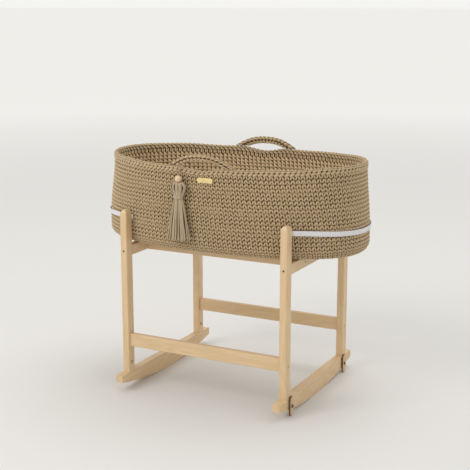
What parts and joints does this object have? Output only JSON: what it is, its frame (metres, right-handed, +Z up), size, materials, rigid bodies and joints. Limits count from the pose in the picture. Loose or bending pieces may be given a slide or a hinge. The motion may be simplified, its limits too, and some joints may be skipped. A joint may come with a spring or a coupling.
{
  "type": "bassinet on rocking stand",
  "caption": "Oval crochet bassinet basket with arch handles and a tassel, resting between the posts of a rocking timber stand with webbing end straps and oval stoppers.",
  "frame": {"origin": "on the floor, under the middle of the stand", "axes": "+X along the basket, towards the end whose rocker carries the stoppers; +Y across it, away from the tassel side; +Z up"},
  "size_m": [0.806, 0.524, 0.7042],
  "materials": {
    "timber": "clear satin lacquer on pale solid timber",
    "dowel_wood": "plain beech",
    "plywood": "thin plywood with darkened cut edges",
    "bead_wood": "smooth raw wood",
    "board": "plain fibreboard",
    "steel": "zinc plated",
    "webbing": "white woven webbing",
    "crochet": "thick taupe cotton cord, crocheted in close rows",
    "crochet_rim": "thick taupe cotton cord in chain rows",
    "tassel_cord": "flat taupe cotton cord",
    "linen": "off-white cotton cover",
    "gilt": "satin gilt plate with no lettering"
  },
  "bodies": {
    "stand": {"post_front_left": "timber", "post_front_right": "timber", "post_back_left": "timber", "post_back_right": "timber", "cross_rail_left": "timber", "cross_rail_right": "timber", "long_rail_front": "timber", "long_rail_back": "timber", "stretcher_front": "timber", "stretcher_back": "timber", "rocker_left": "timber", "rocker_right": "timber", "rocker_bolts": "steel", "barrel_nuts": "steel", "cross_rail_screws": "steel", "long_rail_screws": "steel", "stretcher_screws": "steel", "dowels": "dowel_wood", "strap_left": "webbing", "strap_right": "webbing", "strap_screws": "steel", "stopper_screws": "steel", "stopper_washers": "steel"},
    "stopper_front": {"stopper_front": "plywood"},
    "stopper_back": {"stopper_back": "plywood"},
    "basket": {"basket_wall": "crochet", "basket_base": "crochet", "rim_band": "crochet_rim", "handle_front": "crochet_rim", "handle_back": "crochet_rim", "base_board": "board", "label_plate": "gilt", "label_rivets": "gilt", "tassel_stitch": "tassel_cord"},
    "mattress": {"mattress": "linen"},
    "tassel": {"tassel_loop": "tassel_cord", "tassel_bead": "bead_wood", "tassel_head": "tassel_cord", "tassel_tie": "tassel_cord", "tassel_skirt": "tassel_cord"}
  },
  "joints": [
    {"name": "basket_lift", "type": "slide", "parent": "stand", "child": "basket", "axis": [0, 0, 1], "range_m": [0, 0.25]},
    {"name": "mattress_lift", "type": "slide", "parent": "basket", "child": "mattress", "axis": [0, 0, 1], "range_m": [0, 0.26]},
    {"name": "stopper_front_turn", "type": "hinge", "parent": "stand", "child": "stopper_front", "pos_m": [0.2645, -0.195, 0.028], "axis": [1, 0, 0], "range_deg": [0, 90]},
    {"name": "stopper_back_turn", "type": "hinge", "parent": "stand", "child": "stopper_back", "pos_m": [0.2645, 0.195, 0.028], "axis": [1, 0, 0], "range_deg": [-90, 0]},
    {"name": "tassel_swing", "type": "hinge", "parent": "basket", "child": "tassel", "pos_m": [-0.057, -0.241, 0.661], "axis": [0, 1, 0], "range_deg": [-20, 20]}
  ]
}
